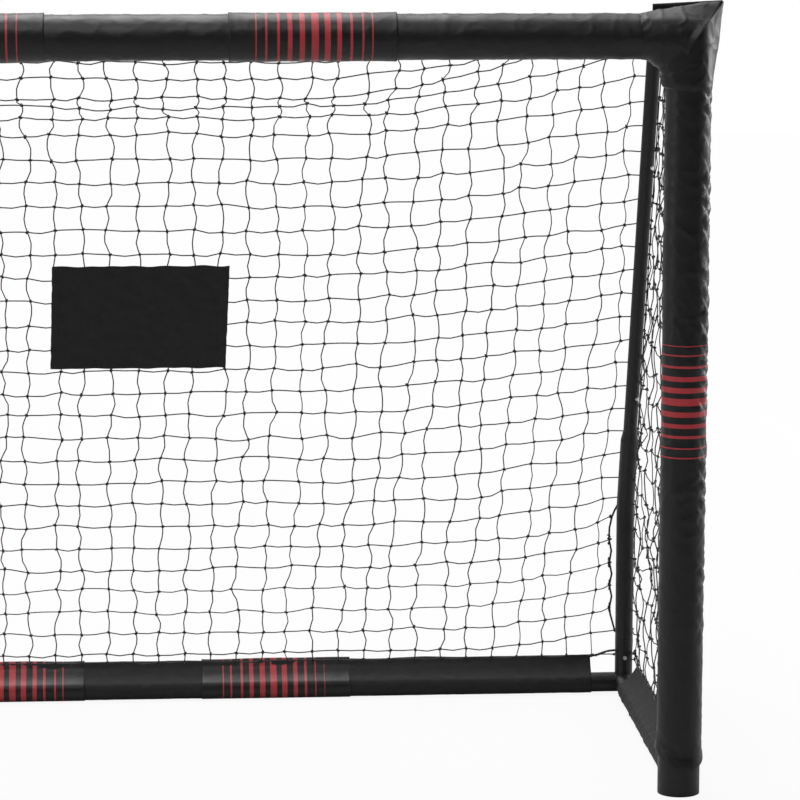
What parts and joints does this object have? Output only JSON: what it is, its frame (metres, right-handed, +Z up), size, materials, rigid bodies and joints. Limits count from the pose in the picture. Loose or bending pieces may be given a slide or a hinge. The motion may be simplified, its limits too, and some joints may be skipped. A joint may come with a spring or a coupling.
{
  "type": "garden football goal with net",
  "caption": "Garden football goal: round steel tube frame in padded fabric sleeves, leaning rear stays, ground tubes in hems, and a knotted net with a bare panel.",
  "frame": {"origin": "on the ground, under the middle of the whole goal's outer box", "axes": "+X along the crossbar to the right seen from the front, +Y from the mouth to the back, +Z up"},
  "size_m": [2.175, 0.8906, 1.5219],
  "materials": {
    "frame": "satin black powder coat",
    "plug": "matt",
    "button": "polished",
    "spring": "rolled",
    "sleeve": "coated woven fabric over foam",
    "hood": "coated woven fabric",
    "cuff": "red and white printed stripes",
    "hem": "coated woven fabric",
    "net": "knotted twine",
    "banner": "woven sheet, bare",
    "cord": "braided cord"
  },
  "bodies": {
    "goal": {"post_lower_left": "frame", "post_lower_right": "frame", "post_upper_left": "frame", "post_upper_right": "frame", "foot_plug_left": "plug", "foot_plug_right": "plug", "top_corner_left": "frame", "top_corner_right": "frame", "side_ground_tube_left": "frame", "side_ground_tube_right": "frame", "ground_corner_left": "frame", "ground_corner_right": "frame", "roof_tube_left": "frame", "roof_tube_right": "frame", "stay_left": "frame", "stay_right": "frame", "leg_left": "frame", "leg_right": "frame", "roof_spring_left": "spring", "roof_spring_right": "spring", "stay_spring_left": "spring", "stay_spring_right": "spring", "leg_spring_left": "spring", "leg_spring_right": "spring", "post_sleeve_left": "sleeve", "post_sleeve_right": "sleeve", "corner_hood_left": "hood", "corner_hood_right": "hood", "crossbar_cuff_left": "cuff", "crossbar_cuff_right": "cuff", "side_hem_left": "hem", "side_hem_right": "hem", "rear_cuff_left": "cuff", "rear_cuff_right": "cuff", "net_side_left": "net", "net_side_right": "net", "lacing_cord_left": "cord", "lacing_cord_right": "cord", "crossbar_right": "frame", "crossbar_left": "frame", "rear_bar_right": "frame", "rear_bar_left": "frame", "crossbar_sleeve": "sleeve", "rear_hem": "hem", "net_roof": "net", "net_back": "net", "net_foot": "net", "banner_panel": "banner"},
    "roof_button_left": {"roof_button_left": "button"},
    "roof_button_right": {"roof_button_right": "button"},
    "stay_button_left": {"stay_button_left": "button"},
    "stay_button_right": {"stay_button_right": "button"},
    "leg_button_left": {"leg_button_left": "button"},
    "leg_button_right": {"leg_button_right": "button"}
  },
  "joints": [
    {"name": "roof_button_left_push", "type": "slide", "parent": "goal", "child": "roof_button_left", "axis": [-0.5592, -0.7819, -0.2756], "range_m": [-0.0058, 0], "stiffness_N_per_m": 400, "springref_m": 0.002, "deforming": ["roof_spring_left"]},
    {"name": "roof_button_right_push", "type": "slide", "parent": "goal", "child": "roof_button_right", "axis": [0.5592, -0.7819, -0.2756], "range_m": [-0.0058, 0], "stiffness_N_per_m": 400, "springref_m": 0.002, "deforming": ["roof_spring_right"]},
    {"name": "stay_button_left_push", "type": "slide", "parent": "goal", "child": "stay_button_left", "axis": [-0.5592, -0.7819, -0.2756], "range_m": [-0.0058, 0], "stiffness_N_per_m": 400, "springref_m": 0.002, "deforming": ["stay_spring_left"]},
    {"name": "stay_button_right_push", "type": "slide", "parent": "goal", "child": "stay_button_right", "axis": [0.5592, -0.7819, -0.2756], "range_m": [-0.0058, 0], "stiffness_N_per_m": 400, "springref_m": 0.002, "deforming": ["stay_spring_right"]},
    {"name": "leg_button_left_push", "type": "slide", "parent": "goal", "child": "leg_button_left", "axis": [0, -1, 0], "range_m": [-0.0058, 0], "stiffness_N_per_m": 400, "springref_m": 0.002, "deforming": ["leg_spring_left"]},
    {"name": "leg_button_right_push", "type": "slide", "parent": "goal", "child": "leg_button_right", "axis": [0, -1, 0], "range_m": [-0.0058, 0], "stiffness_N_per_m": 400, "springref_m": 0.002, "deforming": ["leg_spring_right"]}
  ]
}
